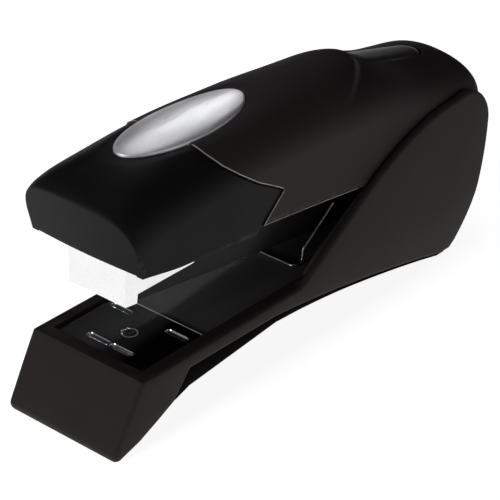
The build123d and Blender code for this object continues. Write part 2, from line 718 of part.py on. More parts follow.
# ---------------------------------------------------------------- write the parts
def main():
    os.makedirs("parts", exist_ok=True)
    shell = handle_shell()
    boss_rear, boss_front = cover_screw_places()
    parts = {
        "base_shell": build_base_shell(),
        "rubber_sole": build_rubber_sole(),
        "chassis": build_chassis(),
        "base_screws": build_base_screws(),
        "hinge_pin": build_hinge_pin(),
        "hinge_washers": build_hinge_washers(),
        "lift_spring": build_lift_spring(),
        "anvil_plate": build_anvil_plate(),
        "anvil_stem": build_anvil_stem(),
        "anvil_button": build_anvil_button(),
        "anvil_spring": build_anvil_spring(),
        "magazine_channel": build_magazine_channel(),
        "front_cap": build_front_cap(),
        "blade_guide": build_blade_guide(),
        "staple_rail": build_staple_rail(),
        "staple_strip": build_staple_strip(),
        "pusher": build_pusher(),
        "rail_block": build_rail_block(),
        "guide_rod": build_guide_rod(),
        "pusher_spring": build_pusher_spring(),
        "magazine_rivets": build_magazine_rivets(),
        "nose_cover": build_nose_cover(shell) + cover_boss(boss_front, BADGE_THICK + 0.3),
        "handle_cover": build_handle_cover(shell) + cover_boss(boss_rear, BADGE_THICK),
        "badge": build_badge(),
        "release_button": build_release_button(),
        "handle_frame": build_handle_frame(),
        "cover_screws": build_cover_screws(),
        "driver_blade": build_driver_blade(),
        "return_spring": build_return_spring(),
        "button_spring": build_button_spring(),
    }
    for name, shape in parts.items():
        export_step(shape, f"parts/{name}.step")
        print(name, round(shape.volume, 1))


if __name__ == "__main__":
    main()
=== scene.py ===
# %% [markdown]
# # A half-strip desk stapler
# The engineering model gives every steel part, hinge and spring its place.  This lesson builds the
# looks around it: the moulded covers, the base, the oval badge, the coil springs and the finishes.
# Everything is in metres in the file, but the numbers are written in millimetres, as a maker would.

# %% Load the frame
import math

import bmesh
import bpy
import numpy as np
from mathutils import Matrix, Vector


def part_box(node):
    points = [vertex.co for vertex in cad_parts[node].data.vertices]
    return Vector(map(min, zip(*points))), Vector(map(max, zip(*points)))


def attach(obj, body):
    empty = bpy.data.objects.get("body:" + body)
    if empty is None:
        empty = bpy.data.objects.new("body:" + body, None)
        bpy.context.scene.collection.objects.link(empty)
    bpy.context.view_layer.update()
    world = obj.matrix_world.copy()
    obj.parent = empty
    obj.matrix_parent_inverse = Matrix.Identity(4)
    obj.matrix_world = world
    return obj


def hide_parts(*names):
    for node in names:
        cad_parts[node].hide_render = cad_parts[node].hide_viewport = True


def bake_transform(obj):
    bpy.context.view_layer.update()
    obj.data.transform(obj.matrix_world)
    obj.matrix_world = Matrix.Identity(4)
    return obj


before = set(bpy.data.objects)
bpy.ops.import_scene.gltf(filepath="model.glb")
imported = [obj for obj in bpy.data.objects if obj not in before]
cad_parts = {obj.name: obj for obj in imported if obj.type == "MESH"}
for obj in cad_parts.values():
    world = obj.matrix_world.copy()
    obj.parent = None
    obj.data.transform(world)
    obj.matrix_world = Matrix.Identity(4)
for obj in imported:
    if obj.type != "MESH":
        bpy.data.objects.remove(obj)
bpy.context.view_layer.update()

MM = 0.001


def box_mm(node):
    """Lowest and highest corner of a frame node, in millimetres."""
    low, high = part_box(node)
    return np.array(low) / MM, np.array(high) / MM


# %% [markdown]
# ## The places that everything hangs on
# A handful of faces of the frame set all the rest: the deck under the anvil, the front and rear of
# the base, and the lower front edge of the nose.  They are read from the frame, so a change there
# carries through to the looks.

# %% Driving places
base_low, base_high = box_mm("base_shell")
plate_low, plate_high = box_mm("anvil_plate")
nose_high = box_mm("nose_cover")[1]
pin_low, pin_high = box_mm("hinge_pin")
FRONT, REAR, HALF = base_high[0], base_low[0], base_high[1]
DECK = plate_high[2]
ANVIL_X = (plate_low[0] + plate_high[0]) / 2
PIN_X, PIN_Z = (pin_low[0] + pin_high[0]) / 2, (pin_low[2] + pin_high[2]) / 2
FACE_LEAN = 3.2
NOSE = nose_high[0] - FACE_LEAN
NOSE_FOOT = DECK + 27.8
WALL = 1.8
print(f"front {FRONT:.1f}  rear {REAR:.1f}  deck {DECK:.1f}  nose {NOSE:.1f}")
print(f"pin {PIN_X:.1f}, {PIN_Z:.1f}")

# %% [markdown]
# ## Camera, light and table
# The stapler is seen from its left front, thirty degrees above the table, through a long lens, so
# that the handle hardly tapers.  Black plastic shows its shape only by what it mirrors: the pale
# table lights the flanks from below, a large soft box brightens everything that faces the nose,
# and the dark room above leaves the upward faces black.  Three weaker boxes, to the side, behind
# and overhead, keep the rest from closing up, and a narrow snoot lights the badge alone.

# %% Camera
SENSOR = 36.0
LENS = 164.84
VIEW_DIRECTION = Vector((-0.64763, -0.57091, -0.50463)).normalized()
AIM = Vector((5.35, 1.07, 21.93)) * MM
DISTANCE = 0.55


def make_camera():
    data = bpy.data.cameras.new("camera")
    data.sensor_width = SENSOR
    data.lens = LENS
    data.clip_start = 0.01
    data.clip_end = 20
    camera = bpy.data.objects.new("camera", data)
    camera.location = AIM - VIEW_DIRECTION * DISTANCE
    camera.rotation_mode = "QUATERNION"
    camera.rotation_quaternion = VIEW_DIRECTION.to_track_quat("-Z", "Y")
    bpy.context.scene.collection.objects.link(camera)
    bpy.context.scene.camera = camera


make_camera()


# %% Lights and table
def soft_box(name, place, size, watts, target=(0, 0, 0.03)):
    """A rectangular soft light that looks at a point of the stapler."""
    data = bpy.data.lights.new(name, "AREA")
    data.shape = "RECTANGLE"
    data.size, data.size_y = size
    data.energy = watts
    light = bpy.data.objects.new(name, data)
    light.location = place
    light.rotation_mode = "QUATERNION"
    light.rotation_quaternion = (Vector(target) - Vector(place)).to_track_quat("-Z", "Y")
    bpy.context.scene.collection.objects.link(light)
    return light


soft_box("key", (0.92, -0.14, 0.30), (0.45, 0.24), 3.6)
soft_box("side_fill", (0.08, 0.92, 0.46), (0.70, 0.30), 0.5)
soft_box("rear_panel", (-0.52, -0.34, 0.56), (0.36, 0.30), 0.10)
soft_box("overhead", (0.02, -0.06, 0.95), (0.32, 0.32), 0.7)
snoot = soft_box("snoot", (-0.34, -0.26, 0.42), (0.07, 0.07), 0.0019, target=(0.029, 0.0, 0.0655))
snoot.data.spread = math.radians(7)

world = bpy.data.worlds.new("dark_room")
world.use_nodes = True
world.node_tree.nodes["Background"].inputs["Color"].default_value = (0.010, 0.010, 0.012, 1)
world.node_tree.nodes["Background"].inputs["Strength"].default_value = 1.0
bpy.context.scene.world = world
bpy.context.scene.view_settings.view_transform = "Standard"


TABLE_REACH = 3.0          # metres from the middle of the table to its edge


def make_table():
    """A wide pale table top, faintly mottled and a little luminous, as a lit sweep of card is."""
    material = bpy.data.materials.new("pale_card")
    material.use_nodes = True
    nodes, links = material.node_tree.nodes, material.node_tree.links
    shader = nodes["Principled BSDF"]
    mottle = nodes.new("ShaderNodeTexNoise")
    mottle.inputs["Scale"].default_value = 900
    tone = nodes.new("ShaderNodeMapRange")
    tone.inputs["To Min"].default_value = 0.80
    tone.inputs["To Max"].default_value = 0.84
    links.new(mottle.outputs["Fac"], tone.inputs["Value"])
    links.new(tone.outputs["Result"], shader.inputs["Base Color"])
    shader.inputs["Roughness"].default_value = 0.9
    shader.inputs["Specular IOR Level"].default_value = 0.1
    shader.inputs["Emission Color"].default_value = (1, 1, 1, 1)
    shader.inputs["Emission Strength"].default_value = 0.90
    mesh = bpy.data.meshes.new("table")
    reach = TABLE_REACH
    corners = [(-reach, -reach, 0), (reach, -reach, 0), (reach, reach, 0), (-reach, reach, 0)]
    mesh.from_pydata(corners, [], [(0, 1, 2, 3)])
    mesh.materials.append(material)
    table = bpy.data.objects.new("table", mesh)
    bpy.context.scene.collection.objects.link(table)


make_table()
print("camera, five lights and the table are in place")

# %% [markdown]
# ## Mesh helpers
# Every made piece goes through the same few steps: points in millimetres become a mesh in metres,
# faces are shaded smooth with crisp edges kept where the surface turns sharply, and modifiers are
# settled into the mesh so that no helper object is left behind.

# %% Mesh helpers
def piece_from(name, points, faces, material, body):
    """A new piece from points in millimetres."""
    mesh = bpy.data.meshes.new(name)
    mesh.from_pydata([tuple(np.array(p) * MM) for p in points], [], faces)
    mesh.validate()
    mesh.materials.append(material)
    piece = bpy.data.objects.new(name, mesh)
    bpy.context.scene.collection.objects.link(piece)
    if body:
        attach(piece, body)
    return piece


def settle(piece):
    """Turn a piece's modifiers into plain mesh."""
    bpy.context.view_layer.update()
    evaluated = piece.evaluated_get(bpy.context.evaluated_depsgraph_get())
    mesh = bpy.data.meshes.new_from_object(evaluated)
    piece.modifiers.clear()
    piece.data = mesh
    return piece


def shade(piece, degrees=35):
    """Smooth shading that keeps edges sharper than the given angle."""
    mesh = piece.data
    mesh.polygons.foreach_set("use_smooth", [True] * len(mesh.polygons))
    mesh.set_sharp_from_angle(angle=math.radians(degrees))
    return piece


def thicken(piece, wall):
    """Give a skin its wall, inwards."""
    solid = piece.modifiers.new("wall", "SOLIDIFY")
    solid.thickness = wall * MM
    solid.offset = -1
    return settle(piece)


def cut(piece, cutter):
    """Cut one closed mesh out of another and throw the cutter away."""
    boolean = piece.modifiers.new("cut", "BOOLEAN")
    boolean.operation = "DIFFERENCE"
    boolean.solver = "EXACT"
    boolean.object = cutter
    settle(piece)
    bpy.data.objects.remove(cutter)
    return piece


def soften(piece, width, degrees=50, segments=2, edge_slot=-1):
    """Break the sharp edges with a small rounded bevel, in a finish of its own if a slot is given."""
    bevel = piece.modifiers.new("edge", "BEVEL")
    bevel.width = width * MM
    bevel.segments = segments
    bevel.limit_method = "ANGLE"
    bevel.angle_limit = math.radians(degrees)
    bevel.use_clamp_overlap = True
    bevel.material = edge_slot
    return settle(piece)


def box_cutter(low, high):
    """A closed box between two corners, in millimetres."""
    points = [(x, y, z) for x in (low[0], high[0]) for y in (low[1], high[1])
              for z in (low[2], high[2])]
    faces = [(0, 1, 3, 2), (4, 6, 7, 5), (0, 4, 5, 1), (2, 3, 7, 6), (0, 2, 6, 4), (1, 5, 7, 3)]
    mesh = bpy.data.meshes.new("cutter")
    mesh.from_pydata([tuple(np.array(p) * MM) for p in points], [], faces)
    cutter = bpy.data.objects.new("cutter", mesh)
    bpy.context.scene.collection.objects.link(cutter)
    return cutter


# %% [markdown]
# ## Finishes: shared effects
# Four effects come back in most finishes: the fine spark grain of a moulding tool, a drift of tone
# from handling, a pale rub along edges, and the straight lines of brushed metal.  Each is a node
# group with its own inputs, and each finish places them with its own values.

# %% Node group helpers
def new_group(name, inputs, outputs):
    """An empty node group with named number or colour sockets."""
    tree = bpy.data.node_groups.new(name, "ShaderNodeTree")
    for label, kind, value in inputs:
        socket = tree.interface.new_socket(name=label, in_out="INPUT", socket_type=kind)
        socket.default_value = value
    for label, kind in outputs:
        tree.interface.new_socket(name=label, in_out="OUTPUT", socket_type=kind)
    return tree, tree.nodes.new("NodeGroupInput"), tree.nodes.new("NodeGroupOutput")


def add(tree, kind, settings=None, links=None, values=None):
    """Add one node, set it and link it."""
    node = tree.nodes.new(kind)
    for key, value in (settings or {}).items():
        setattr(node, key, value)
    for key, value in (values or {}).items():
        node.inputs[key].default_value = value
    for key, source in (links or {}).items():
        tree.links.new(source, node.inputs[key])
    return node


FLOAT = "NodeSocketFloat"


# %% Spark grain of a mould
def grain_group():
    inputs = [("Scale", FLOAT, 3000.0), ("Low", FLOAT, 0.4), ("High", FLOAT, 0.55)]
    tree, start, end = new_group("spark_grain", inputs, [("Height", FLOAT), ("Roughness", FLOAT)])
    place = add(tree, "ShaderNodeTexCoord")
    spread = {"Vector": place.outputs["Object"], "Scale": start.outputs["Scale"]}
    pits = add(tree, "ShaderNodeTexVoronoi", {}, spread)
    fine = add(tree, "ShaderNodeTexNoise", {}, spread, {"Detail": 3.0, "Roughness": 0.6})
    blend = add(tree, "ShaderNodeMath", {"operation": "MULTIPLY_ADD"},
                {0: pits.outputs["Distance"], 2: fine.outputs["Fac"]}, {1: 0.5})
    rough = add(tree, "ShaderNodeMapRange", {},
                {"Value": fine.outputs["Fac"], "To Min": start.outputs["Low"],
                 "To Max": start.outputs["High"]})
    tree.links.new(blend.outputs[0], end.inputs["Height"])
    tree.links.new(rough.outputs["Result"], end.inputs["Roughness"])
    return tree


GRAIN = grain_group()


# %% Drift of tone from handling
def handling_group():
    inputs = [("Scale", FLOAT, 40.0), ("Amount", FLOAT, 0.15)]
    tree, start, end = new_group("handling", inputs, [("Tone", FLOAT)])
    place = add(tree, "ShaderNodeTexCoord")
    cloud = add(tree, "ShaderNodeTexNoise", {},
                {"Vector": place.outputs["Object"], "Scale": start.outputs["Scale"]},
                {"Detail": 5.0, "Roughness": 0.55})
    low = add(tree, "ShaderNodeMath", {"operation": "SUBTRACT"}, {1: start.outputs["Amount"]}, {0: 1.0})
    high = add(tree, "ShaderNodeMath", {"operation": "ADD"}, {1: start.outputs["Amount"]}, {0: 1.0})
    tone = add(tree, "ShaderNodeMapRange", {},
               {"Value": cloud.outputs["Fac"], "To Min": low.outputs[0], "To Max": high.outputs[0]},
               {"From Min": 0.3, "From Max": 0.7})
    tree.links.new(tone.outputs["Result"], end.inputs["Tone"])
    return tree


HANDLING = handling_group()


# %% Pale rub along edges
def rub_group():
    inputs = [("Amount", FLOAT, 0.5), ("Scale", FLOAT, 300.0)]
    tree, start, end = new_group("edge_rub", inputs, [("Mask", FLOAT)])
    shape = add(tree, "ShaderNodeNewGeometry")
    place = add(tree, "ShaderNodeTexCoord")
    edge = add(tree, "ShaderNodeMapRange", {}, {"Value": shape.outputs["Pointiness"]},
               {"From Min": 0.52, "From Max": 0.60})
    patch = add(tree, "ShaderNodeTexNoise", {},
                {"Vector": place.outputs["Object"], "Scale": start.outputs["Scale"]}, {"Detail": 4.0})
    broken = add(tree, "ShaderNodeMapRange", {}, {"Value": patch.outputs["Fac"]},
                 {"From Min": 0.4, "From Max": 0.7})
    both = add(tree, "ShaderNodeMath", {"operation": "MULTIPLY"},
               {0: edge.outputs["Result"], 1: broken.outputs["Result"]})
    mask = add(tree, "ShaderNodeMath", {"operation": "MULTIPLY", "use_clamp": True},
               {0: both.outputs[0], 1: start.outputs["Amount"]})
    tree.links.new(mask.outputs[0], end.inputs["Mask"])
    return tree


RUB = rub_group()


# %% Brushed lines of metal
def brushed_group():
    inputs = [("Along", FLOAT, 60.0), ("Across", FLOAT, 6000.0), ("Low", FLOAT, 0.25), ("High", FLOAT, 0.4)]
    tree, start, end = new_group("brushed_lines", inputs, [("Height", FLOAT), ("Roughness", FLOAT)])
    place = add(tree, "ShaderNodeTexCoord")
    stretch = add(tree, "ShaderNodeCombineXYZ", {},
                  {"X": start.outputs["Along"], "Y": start.outputs["Across"],
                   "Z": start.outputs["Across"]})
    scaled = add(tree, "ShaderNodeVectorMath", {"operation": "MULTIPLY"},
                 {0: place.outputs["Object"], 1: stretch.outputs["Vector"]})
    lines = add(tree, "ShaderNodeTexNoise", {}, {"Vector": scaled.outputs["Vector"]},
                {"Scale": 1.0, "Detail": 4.0, "Roughness": 0.65})
    rough = add(tree, "ShaderNodeMapRange", {},
                {"Value": lines.outputs["Fac"], "To Min": start.outputs["Low"],
                 "To Max": start.outputs["High"]})
    tree.links.new(lines.outputs["Fac"], end.inputs["Height"])
    tree.links.new(rough.outputs["Result"], end.inputs["Roughness"])
    return tree


BRUSHED = brushed_group()
print("shared effects:", [g.name for g in bpy.data.node_groups])


# %% [markdown]
# ## Finishes: the materials
# The shell and the rear cover are the same warm black plastic, the nose is a cooler black, and the
# steel comes in three coats: glossy black lacquer, bright nickel and plain zinc.  The numbers that
# are even over a surface sit on the shader itself.

# %% Material helpers
def start_material(name, specular=0.5, metallic=0.0):
    material = bpy.data.materials.new(name)
    material.use_nodes = True
    shader = material.node_tree.nodes["Principled BSDF"]
    shader.inputs["Specular IOR Level"].default_value = specular
    shader.inputs["Metallic"].default_value = metallic
    return material, material.node_tree, shader


def place_group(tree, group, values):
    return add(tree, "ShaderNodeGroup", {"node_tree": group}, {}, values)


def tinted(tree, colour, tone_socket, mask_socket=None, rubbed=None):
    """A base colour that drifts with a tone and pales where a mask says."""
    scaled = add(tree, "ShaderNodeMix", {"data_type": "RGBA", "blend_type": "MULTIPLY"})
    scaled.inputs["Factor"].default_value = 1.0
    scaled.inputs["A"].default_value = (*colour, 1)
    tree.links.new(tone_socket, scaled.inputs["B"])
    if mask_socket is None:
        return scaled.outputs["Result"]
    pale = add(tree, "ShaderNodeMix", {"data_type": "RGBA"})
    tree.links.new(mask_socket, pale.inputs["Factor"])
    tree.links.new(scaled.outputs["Result"], pale.inputs["A"])
    pale.inputs["B"].default_value = (*rubbed, 1)
    return pale.outputs["Result"]


def bumped(tree, shader, height_socket, strength, depth):
    bump = add(tree, "ShaderNodeBump", {}, {"Height": height_socket},
               {"Strength": strength, "Distance": depth})
    tree.links.new(bump.outputs["Normal"], shader.inputs["Normal"])


# %% Moulded plastics and rubber
def plastic(name, colour, rubbed, low, high, specular, grain_scale=2600.0, bump=0.25):
    material, tree, shader = start_material(name, specular)
    grain = place_group(tree, GRAIN, {"Scale": grain_scale, "Low": low, "High": high})
    drift = place_group(tree, HANDLING, {"Scale": 45.0, "Amount": 0.12})
    rub = place_group(tree, RUB, {"Amount": 0.6, "Scale": 320.0})
    colour_socket = tinted(tree, colour, drift.outputs["Tone"], rub.outputs["Mask"], rubbed)
    tree.links.new(colour_socket, shader.inputs["Base Color"])
    tree.links.new(grain.outputs["Roughness"], shader.inputs["Roughness"])
    bumped(tree, shader, grain.outputs["Height"], bump, 0.00003)
    return material


SHELL = plastic("warm_black_shell", (0.019, 0.014, 0.014), (0.06, 0.05, 0.05), 0.66, 0.78, 0.17)
COVER = plastic("cool_black_cover", (0.008, 0.008, 0.0085), (0.05, 0.05, 0.05), 0.42, 0.54, 0.05)
KEY_BLACK = plastic("button_black", (0.020, 0.018, 0.019), (0.07, 0.07, 0.07), 0.35, 0.45, 0.26, 3200.0)
# A pale plastic put on the rear cover's bevels and on thin beads: a painted highlight along its edges.
PALE_HIGHLIGHT = plastic("painted_edge_highlight", (0.30, 0.29, 0.29), (0.40, 0.40, 0.40), 0.2, 0.3, 0.5)
INNER = plastic("inner_plastic", (0.030, 0.030, 0.031), (0.09, 0.09, 0.09), 0.45, 0.6, 0.3)
RUBBER = plastic("sole_rubber", (0.003, 0.003, 0.003), (0.02, 0.02, 0.02), 0.75, 0.9, 0.02, 1500.0, 0.5)


# %% Metals
def metal(name, colour, low, high, along, across, bump=0.15, metallic=1.0, specular=0.5):
    material, tree, shader = start_material(name, specular, metallic)
    lines = place_group(tree, BRUSHED, {"Along": along, "Across": across, "Low": low, "High": high})
    drift = place_group(tree, HANDLING, {"Scale": 60.0, "Amount": 0.06})
    tree.links.new(tinted(tree, colour, drift.outputs["Tone"]), shader.inputs["Base Color"])
    tree.links.new(lines.outputs["Roughness"], shader.inputs["Roughness"])
    bumped(tree, shader, lines.outputs["Height"], bump, 0.00002)
    return material


NICKEL = metal("bright_nickel", (0.82, 0.82, 0.82), 0.22, 0.34, 200.0, 4000.0, 0.08)
BADGE_METAL = metal("brushed_badge", (0.90, 0.90, 0.92), 0.46, 0.58, 150.0, 7000.0, 0.2)
ZINC = metal("zinc_steel", (0.62, 0.62, 0.64), 0.3, 0.45, 500.0, 2500.0, 0.12)
SPRING = metal("spring_steel", (0.55, 0.55, 0.58), 0.22, 0.35, 800.0, 800.0, 0.08)
STAPLE = metal("staple_wire", (0.70, 0.70, 0.72), 0.25, 0.38, 2000.0, 2000.0, 0.08)
LACQUER = metal("black_lacquer", (0.008, 0.008, 0.009), 0.26, 0.34, 300.0, 900.0, 0.06, 0.0, 0.07)
FLOOR_BLACK = metal("floor_lacquer", (0.07, 0.07, 0.072), 0.40, 0.50, 300.0, 900.0, 0.06, 0.0, 0.5)


# The bright colour is a painted highlight, put into the anvil plate's pockets and onto the anvil stem's rim
# top.
BLACKENED, HIGHLIGHT_BRIGHT = (0.035, 0.035, 0.037), (0.75, 0.75, 0.76)
TONE_BAND = 0.00003        # half the height, in metres, in which one tone passes into the other


def blackened_with_highlight(name, level, below, above):
    """Blackened steel with a painted highlight: below and above say how much bright highlight colour is
    painted on each side of a level.
    """
    material = metal(name, BLACKENED, 0.20, 0.30, 500.0, 3000.0, 0.1)
    tree = material.node_tree
    shader = tree.nodes["Principled BSDF"]
    place = add(tree, "ShaderNodeTexCoord")
    height = add(tree, "ShaderNodeSeparateXYZ", {}, {"Vector": place.outputs["Object"]})
    mask = add(tree, "ShaderNodeMapRange", {}, {"Value": height.outputs["Z"]},
               {"From Min": level - TONE_BAND, "From Max": level + TONE_BAND,
                "To Min": below, "To Max": above})
    mix = add(tree, "ShaderNodeMix", {"data_type": "RGBA"})
    plain = shader.inputs["Base Color"].links[0].from_socket
    tree.links.new(mask.outputs["Result"], mix.inputs["Factor"])
    tree.links.new(plain, mix.inputs["A"])
    mix.inputs["B"].default_value = (*HIGHLIGHT_BRIGHT, 1)
    tree.links.new(mix.outputs["Result"], shader.inputs["Base Color"])
    return material


def own_height(node, z):
    """A height of the stapler, in a frame part's own coordinates."""
    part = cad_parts[node]
    bpy.context.view_layer.update()
    return (part.matrix_world.inverted() @ Vector((0, 0, z * MM))).z


# Painted highlight: the plate is bright below the deck, in its pockets, and the stem is bright on its rim
# top.
ANVIL_STEEL = blackened_with_highlight("anvil_steel", own_height("anvil_plate", DECK - 0.06), 1, 0)
STEM_STEEL = blackened_with_highlight("anvil_stem_steel", own_height("anvil_stem", DECK - 0.12), 0, 1)
print("finishes:", len(bpy.data.materials))

# %% [markdown]
# ## The handle's skin as a formula
# Nose cover, rear cover, badge and button all lie on one flowing surface.  Modelling it by hand
# four times would never line up, so the surface is written once: a crown line and a half width that
# change along the stapler, and a section across it made of one cubic curve and an upright side.
# A point of the skin is then found from its place along (x) and its share round the section (v).

# %% Smooth lines through a few stations
def smooth(x, stations, values):
    """A smooth line through stations in rising order, with no overshoot between them."""
    xs, ys = np.asarray(stations, float), np.asarray(values, float)
    step = np.diff(xs)
    slope = np.diff(ys) / step
    same_way = slope[:-1] * slope[1:] > 0
    total = np.where(same_way, slope[:-1] + slope[1:], 1.0)
    inner = np.where(same_way, 2 * slope[:-1] * slope[1:] / total, 0.0)
    tangent = np.concatenate([[slope[0]], inner, [slope[-1]]])
    x = np.clip(x, xs[0], xs[-1])
    i = np.clip(np.searchsorted(xs, x, side="right") - 1, 0, len(step) - 1)
    h = step[i]
    t = (x - xs[i]) / h
    first = (1 + 2 * t) * (1 - t) ** 2 * ys[i] + t * (1 - t) ** 2 * h * tangent[i]
    return first + t * t * (3 - 2 * t) * ys[i + 1] + t * t * (t - 1) * h * tangent[i + 1]


def ease(t):
    """Smooth step from 0 to 1."""
    t = np.clip(t, 0.0, 1.0)
    return t * t * (3 - 2 * t)


# place along, crown above the deck, half width, rise of the arch, how square the shoulder is
STATIONS = [
    (REAR, 33.7, 14.9, 9.5, 0.48),
    (REAR + 4, 36.1, 15.5, 11.0, 0.48),
    (REAR + 8, 37.2, 15.6, 11.6, 0.48),
    (REAR + 14, 38.4, 15.6, 12.0, 0.48),
    (REAR + 22, 40.0, 15.6, 12.3, 0.50),
    (REAR + 38, 44.6, 15.6, 12.6, 0.55),
    (REAR + 54, 46.3, 15.7, 12.6, 0.56),
    (NOSE - 54, 48.0, 16.2, 12.6, 0.56),
    (NOSE - 31, 48.7, 17.0, 12.6, 0.56),
    (NOSE - 11, 47.4, 17.1, 12.6, 0.63),
    (NOSE - 4, 46.1, 17.3, 12.4, 0.74),
    (NOSE, 44.8, 17.35, 12.0, 0.80),
    (NOSE + 2, 43.9, 17.3, 11.4, 0.84),
    (NOSE + 4, 42.7, 17.2, 10.6, 0.86),
]
AT, CROWN, WIDE, RISE, SQUARE = np.array(STATIONS).T
ARCH_SHARE = 0.72          # share of v that lies on the arch; the rest is the upright side
HUMP_X = REAR + 37.0       # rear crease of the hump, on the crown
HUMP_DROP = 2.0
HUMP_REACH = 14.5
HUMP_SWEEP = 15.0
CREASE_SOFT = 2.6
BADGE_X, BADGE_HALF, BADGE_SIDE = NOSE - 32.0, 19.8, 7.75
DISH = 0.45


# %% Height of the skin
def hump_crease(y):
    """The crease behind the hump: it sweeps forward as it runs down the sides."""
    return HUMP_X + HUMP_SWEEP * (y / 13.5) ** 2


def dents(x, y):
    """How far the skin lies below its plain arch: the step behind the hump and the badge's dish."""
    fade = np.clip(1 - (y / HUMP_REACH) ** 2, 0, 1)
    step = HUMP_DROP * fade * ease((hump_crease(y) - x) / CREASE_SOFT + 0.5)
    ring = np.sqrt(((x - BADGE_X) / BADGE_HALF) ** 2 + (y / BADGE_SIDE) ** 2)
    return step + DISH * (1 - ease((ring - 1.0) / 0.30))


EDGE_SAG = 0.7             # the edge sags a little behind the nose's corners
REAR_EDGE_STEP = 1.9       # the rear cover's lower edge stands this much above the nose cover's


def lower_edge(x, step=0.0):
    """Lower edge of the covers, which rises to the nose."""
    dip = EDGE_SAG * np.exp(-(((x - NOSE + 13.0) / 8.0) ** 2))
    return NOSE_FOOT - 1.1 + step - 0.1485 * (NOSE - 1.7 - x) - dip


def skin(x, v, lift=0.0, step=0.0):
    """Points of the skin at places x and shares v from -1 (right) over 0 (crown) to 1 (left)."""
    x, v = np.broadcast_arrays(np.asarray(x, float), np.asarray(v, float))
    half = smooth(x, AT, WIDE) + lift
    crown = DECK + smooth(x, AT, CROWN) + lift
    rise = smooth(x, AT, RISE)
    square = smooth(x, AT, SQUARE)
    spring = crown - rise
    s = np.clip(np.abs(v) / ARCH_SHARE, 0, 1)
    y = 3 * s * (1 - s) ** 2 * square * half + (3 * s * s * (1 - s) + s**3) * half
    z = (1 - s) ** 3 * crown + 3 * s * (1 - s) ** 2 * crown
    z = z + 3 * s * s * (1 - s) * (spring + 0.56 * rise) + s**3 * spring
    down = np.clip((np.abs(v) - ARCH_SHARE) / (1 - ARCH_SHARE), 0, 1)
    z = z + (lower_edge(x, step) - spring) * down
    z = z - dents(x, y) * (1 - down)
    return x, y * np.sign(v), z


def skin_height(x, y):
    """Height of the skin over points of the plan."""
    v = np.linspace(0, ARCH_SHARE, 160)
    heights = []
    for px, py in zip(np.ravel(x), np.ravel(y)):
        _, ys, zs = skin(np.full_like(v, px), v)
        heights.append(np.interp(abs(py), ys, zs))
    return np.array(heights).reshape(np.shape(x))


badge_crown = skin_height(np.array([BADGE_X]), np.array([0.0]))[0]
print("crown over the badge, mm:", round(float(badge_crown), 1))


# %% [markdown]
# ## Lattices
# A lattice is rows of points with the same count in each, joined by four-sided faces.  Where the
# skin has to stop on a line of its own, such as the seam or the nose's crease, each column of the
# lattice is ended exactly on that line by halving an interval until the line is met.

# %% Lattice helpers
def lattice_faces(rows, columns, start=0):
    """Four-sided faces between rows of points, the first of which is point number start."""
    faces = []
    for r in range(rows - 1):
        for c in range(columns - 1):
            a = start + r * columns + c
            faces.append((a, a + 1, a + columns + 1, a + columns))
    return faces


def meet(line, low, high, v):
    """For each column v, the x between low and high where line(x, v) changes from minus to plus."""
    low, high = np.full_like(v, low), np.full_like(v, high)
    for _ in range(40):
        middle = (low + high) / 2
        above = line(middle, v) > 0
        high = np.where(above, middle, high)
        low = np.where(above, low, middle)
    return (low + high) / 2


ARCH_COLUMNS = 34
SIDE_COLUMNS = 22
DOWN_SHARES = np.linspace(0, 1, SIDE_COLUMNS + 1) ** 1.4   # closer together near the arch
side_v = (ARCH_SHARE + (1 - ARCH_SHARE) * DOWN_SHARES)[1:]
arch_v = np.linspace(-ARCH_SHARE, ARCH_SHARE, 2 * ARCH_COLUMNS + 1)
COLUMNS_V = np.concatenate([-side_v[::-1], arch_v, side_v])
print("columns round the section:", len(COLUMNS_V))


# %% The seam and the front face
SEAM = [
    (NOSE - 39.6, DECK + 15.0),
    (NOSE - 39.6, DECK + 21.0),
    (NOSE - 43.6, DECK + 24.5),
    (NOSE - 49.3, DECK + 29.1),
    (NOSE - 44.6, DECK + 32.0),
    (NOSE - 40.0, DECK + 34.6),
    (NOSE - 34.0, DECK + 38.9),
    (NOSE - 29.7, DECK + 42.4),
    (NOSE - 27.3, DECK + 45.3),
    (NOSE - 26.0, DECK + 48.0),
    (NOSE - 25.5, DECK + 60.0),
]
SEAM_X, SEAM_Z = np.array(SEAM).T


def seam_at(z):
    return np.interp(z, SEAM_Z, SEAM_X)


def past_seam(x, v):
    return x - seam_at(skin(x, v)[2])


def face_at(y, z):
    """The front face leans forward as it rises, and is bowed a little in plan."""
    return NOSE + FACE_LEAN * (z - NOSE_FOOT) / 13.5 - 1.0 * (y / HALF) ** 2


def past_face(x, v):
    _, y, z = skin(x, v)
    return x - face_at(y, z)


seam_x = meet(past_seam, NOSE - 60, NOSE - 15, COLUMNS_V)
crease_x = meet(past_face, NOSE - 8, NOSE + 3.9, COLUMNS_V)
print("seam on the crown:", round(float(seam_x[len(seam_x) // 2]), 1))
print("crease of the nose:", round(float(crease_x.max()), 1))


# %% [markdown]
# ## Nose cover
# The nose cover is one thin moulding: the skin from the seam to a soft brow, and below the brow a
# raked front face.  Top and face are two lattices that share the brow's points.  The band between
# them is bowed outwards a little, and its points are then eased, so that the brow is soft.

# %% Nose cover
WELD = 0.03                # points this close are the same point


def join_close(piece):
    """Weld points that two lattices share."""
    work = bmesh.new()
    work.from_mesh(piece.data)
    bmesh.ops.remove_doubles(work, verts=work.verts, dist=WELD * MM)
    bmesh.ops.dissolve_degenerate(work, dist=0.001 * MM, edges=work.edges)
    work.to_mesh(piece.data)
    work.free()
    return piece


